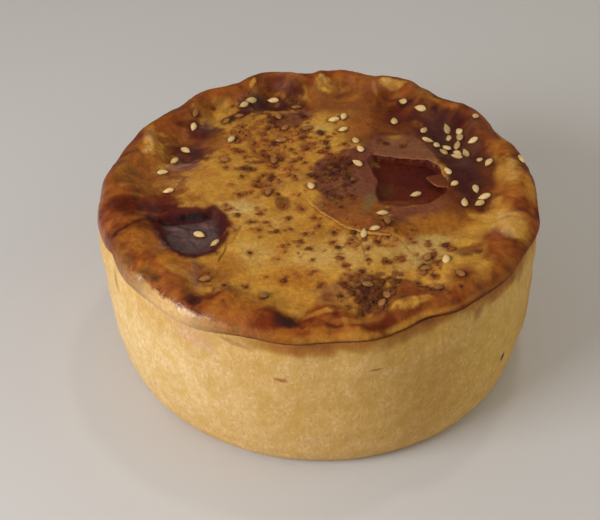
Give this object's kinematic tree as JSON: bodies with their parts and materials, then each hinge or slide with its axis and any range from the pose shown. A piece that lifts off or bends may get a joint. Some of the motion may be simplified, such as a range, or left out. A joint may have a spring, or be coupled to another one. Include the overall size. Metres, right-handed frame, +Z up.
{
  "type": "turkey pie",
  "caption": "Whole raised pie in a straight-sided hot-water crust, with a fluted lid, a burst steam blister and baked-on sesame seeds.",
  "frame": {"origin": "centre of the flat base, on the surface the pie stands on", "axes": "+Z up through the middle of the lid; the front of the pie, with the pinch in its rim, faces -Y"},
  "size_m": [0.1043, 0.1051, 0.0462],
  "materials": {
    "pale_crust": "matt pale golden hot-water-crust pastry with a fine mottle, not plastic",
    "glazed_crust": "egg-glazed pastry baked golden to deep red-brown, glossy where the glaze pooled, not plastic"
  },
  "bodies": {
    "root": {"filled_case": "pale_crust", "crimped_lid": "glazed_crust"}
  },
  "joints": []
}
